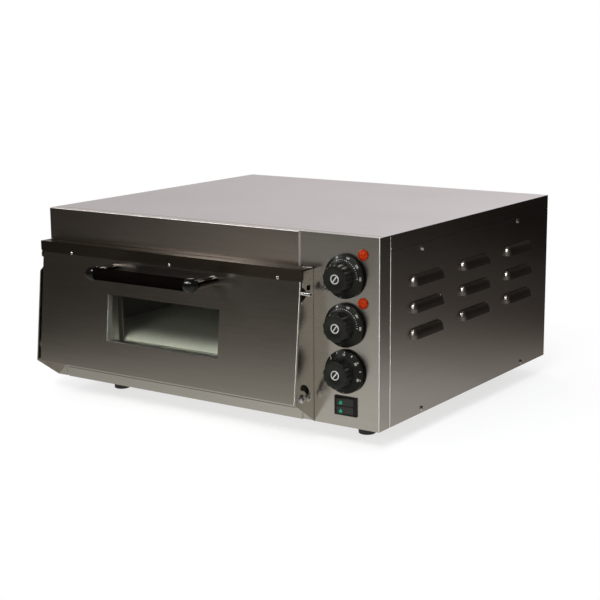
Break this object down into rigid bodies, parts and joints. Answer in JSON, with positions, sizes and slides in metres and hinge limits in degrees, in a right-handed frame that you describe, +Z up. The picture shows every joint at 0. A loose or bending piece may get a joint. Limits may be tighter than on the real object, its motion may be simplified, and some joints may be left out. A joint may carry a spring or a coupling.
{
  "type": "countertop pizza oven",
  "caption": "Free-standing countertop deck oven with a bottom-hinged windowed door, tubular handle, dial controls on a side panel and louvered casing.",
  "frame": {"origin": "on the worktop under the feet, under the middle of the object's outer box", "axes": "+X to the right as seen from the front, +Y from the door towards the rear panel, +Z up"},
  "size_m": [0.5705, 0.593, 0.2795],
  "materials": {
    "casing_steel": "brushed, fine vertical grain",
    "fascia_steel": "brushed, fine horizontal grain",
    "door_steel": "brushed, fine grain, reflective",
    "chamber_steel": "plain mill finish",
    "baking_stone": "porous fired stone, matt",
    "heater_rod": "dark oxidised",
    "mineral_wool": "loose fibre",
    "thermostat_case": "moulded resin",
    "timer_case": "moulded resin",
    "ceramic": "glazed",
    "lamp_lens": "clear tinted, glossy",
    "switch_plastic": "glossy",
    "wire_sleeve": "matt sleeve",
    "gland_plastic": "matt",
    "stud_brass": "bright",
    "foot_rubber": "matt",
    "plated_screws": "bright plated",
    "window_glass": "clear",
    "handle_black": "glossy, smooth",
    "post_steel": "polished steel",
    "knob_black": "glossy"
  },
  "bodies": {
    "root": {"base_pan": "casing_steel", "rear_panel": "casing_steel", "left_side_panel": "casing_steel", "right_side_panel": "casing_steel", "top_cover": "casing_steel", "control_panel": "casing_steel", "left_hinge_post": "casing_steel", "front_frame": "casing_steel", "fascia": "fascia_steel", "chamber_liner": "chamber_steel", "heat_shield": "chamber_steel", "stone_rails": "chamber_steel", "element_brackets": "chamber_steel", "baking_stone": "baking_stone", "upper_element": "heater_rod", "lower_element": "heater_rod", "top_insulation": "mineral_wool", "bottom_insulation": "mineral_wool", "side_insulation": "mineral_wool", "rear_insulation": "mineral_wool", "upper_thermostat": "thermostat_case", "lower_thermostat": "thermostat_case", "timer": "timer_case", "safety_cutout": "ceramic", "terminal_block": "ceramic", "upper_lamp": "lamp_lens", "lower_lamp": "lamp_lens", "switch_body": "switch_plastic", "wiring": "wire_sleeve", "cable_gland": "gland_plastic", "earth_stud": "stud_brass", "foot_front_left": "foot_rubber", "foot_front_right": "foot_rubber", "foot_rear_left": "foot_rubber", "foot_rear_right": "foot_rubber", "foot_screws": "plated_screws", "panel_screws": "plated_screws", "hinge_screws": "plated_screws"},
    "door": {"door_skin": "door_steel", "door_inner_panel": "chamber_steel", "door_top_rail": "door_steel", "rail_rivets": "plated_screws", "window_frame": "door_steel", "window_glass": "window_glass", "window_retainer": "chamber_steel", "door_insulation": "mineral_wool", "handle_grip": "handle_black", "handle_caps": "handle_black", "handle_posts": "post_steel", "limit_screws": "plated_screws", "latch_pin": "plated_screws"},
    "upper_dial": {"upper_knob": "knob_black", "upper_shaft": "post_steel"},
    "lower_dial": {"lower_knob": "knob_black", "lower_shaft": "post_steel"},
    "timer_dial": {"timer_knob": "knob_black", "timer_shaft": "post_steel"},
    "upper_switch": {"upper_rocker": "switch_plastic"},
    "lower_switch": {"lower_rocker": "switch_plastic"}
  },
  "joints": [
    {"name": "door_hinge", "type": "hinge", "parent": "root", "child": "door", "pos_m": [0, -0.243, 0.0647], "axis": [1, 0, 0], "range_deg": [0, 90]},
    {"name": "upper_dial_turn", "type": "hinge", "parent": "root", "child": "upper_dial", "pos_m": [0.23, -0.2145, 0.2268], "axis": [0, 1, 0], "range_deg": [0, 300]},
    {"name": "lower_dial_turn", "type": "hinge", "parent": "root", "child": "lower_dial", "pos_m": [0.23, -0.2145, 0.16335], "axis": [0, 1, 0], "range_deg": [0, 300]},
    {"name": "timer_dial_turn", "type": "hinge", "parent": "root", "child": "timer_dial", "pos_m": [0.23, -0.2145, 0.1025], "axis": [0, 1, 0], "range_deg": [0, 300]},
    {"name": "upper_switch_rock", "type": "hinge", "parent": "root", "child": "upper_switch", "pos_m": [0.2302, -0.2125, 0.0618], "axis": [0, 0, -1], "range_deg": [0, 12]},
    {"name": "lower_switch_rock", "type": "hinge", "parent": "root", "child": "lower_switch", "pos_m": [0.2302, -0.2125, 0.051], "axis": [0, 0, -1], "range_deg": [0, 12]}
  ]
}
